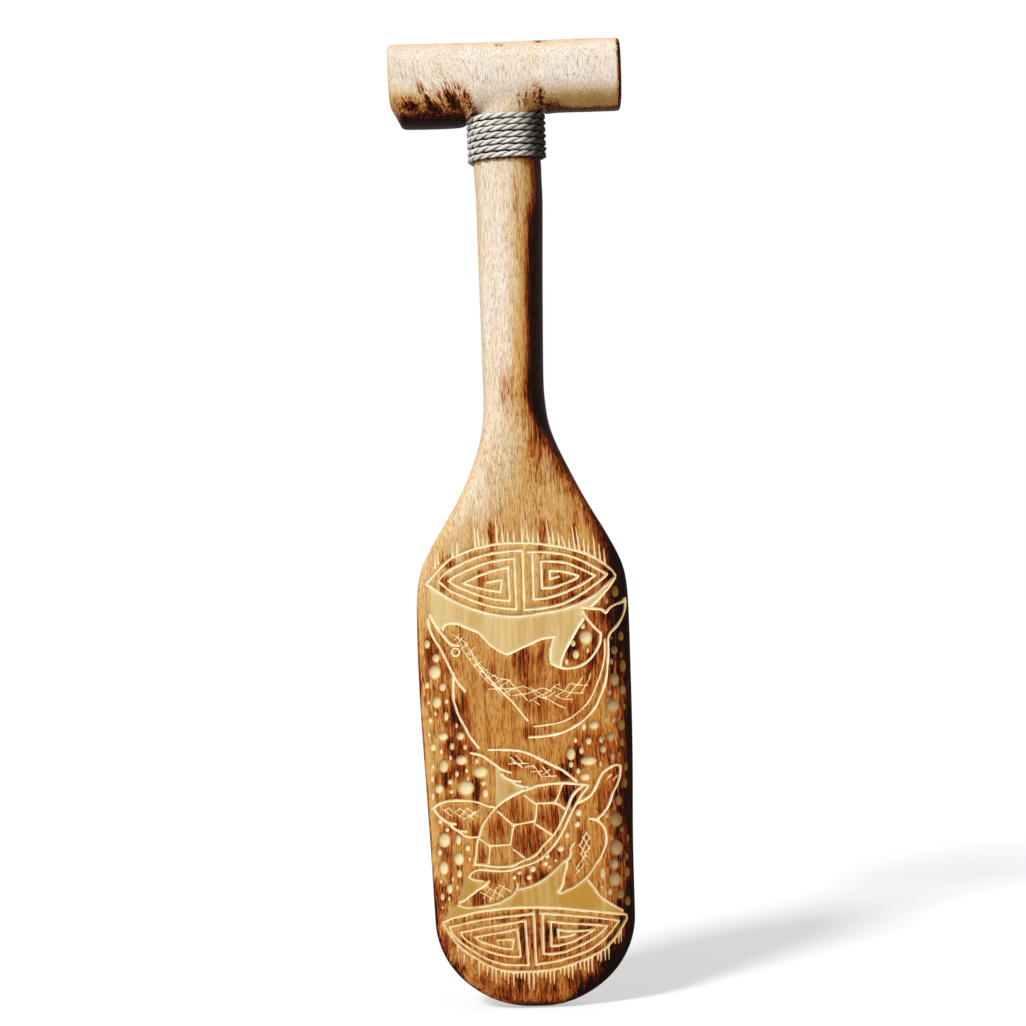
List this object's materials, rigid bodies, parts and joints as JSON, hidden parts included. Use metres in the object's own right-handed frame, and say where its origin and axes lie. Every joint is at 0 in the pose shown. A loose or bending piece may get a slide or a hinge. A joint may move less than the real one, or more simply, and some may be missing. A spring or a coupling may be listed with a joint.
{
  "type": "carved wooden paddle",
  "caption": "Carved decorative paddle: broad blade with sea creatures and fret bands, round shaft, T grip and a cord whipping at the neck.",
  "frame": {"origin": "on the blade's flat back, 150 mm above the blade's tip", "axes": "+Z along the paddle towards the T grip, -Y towards the carved face, +Y out of the flat back, +X to the viewer's right when facing the carving"},
  "size_m": [0.1436, 0.0452, 0.6],
  "materials": {
    "carved_wood": "open-pored pale hardwood, stained brown and scorched, satin, with pale cut lines",
    "natural_cord": "matt two-ply twisted natural fibre"
  },
  "bodies": {
    "root": {"carved_paddle": "carved_wood", "neck_cord": "natural_cord"}
  },
  "joints": []
}
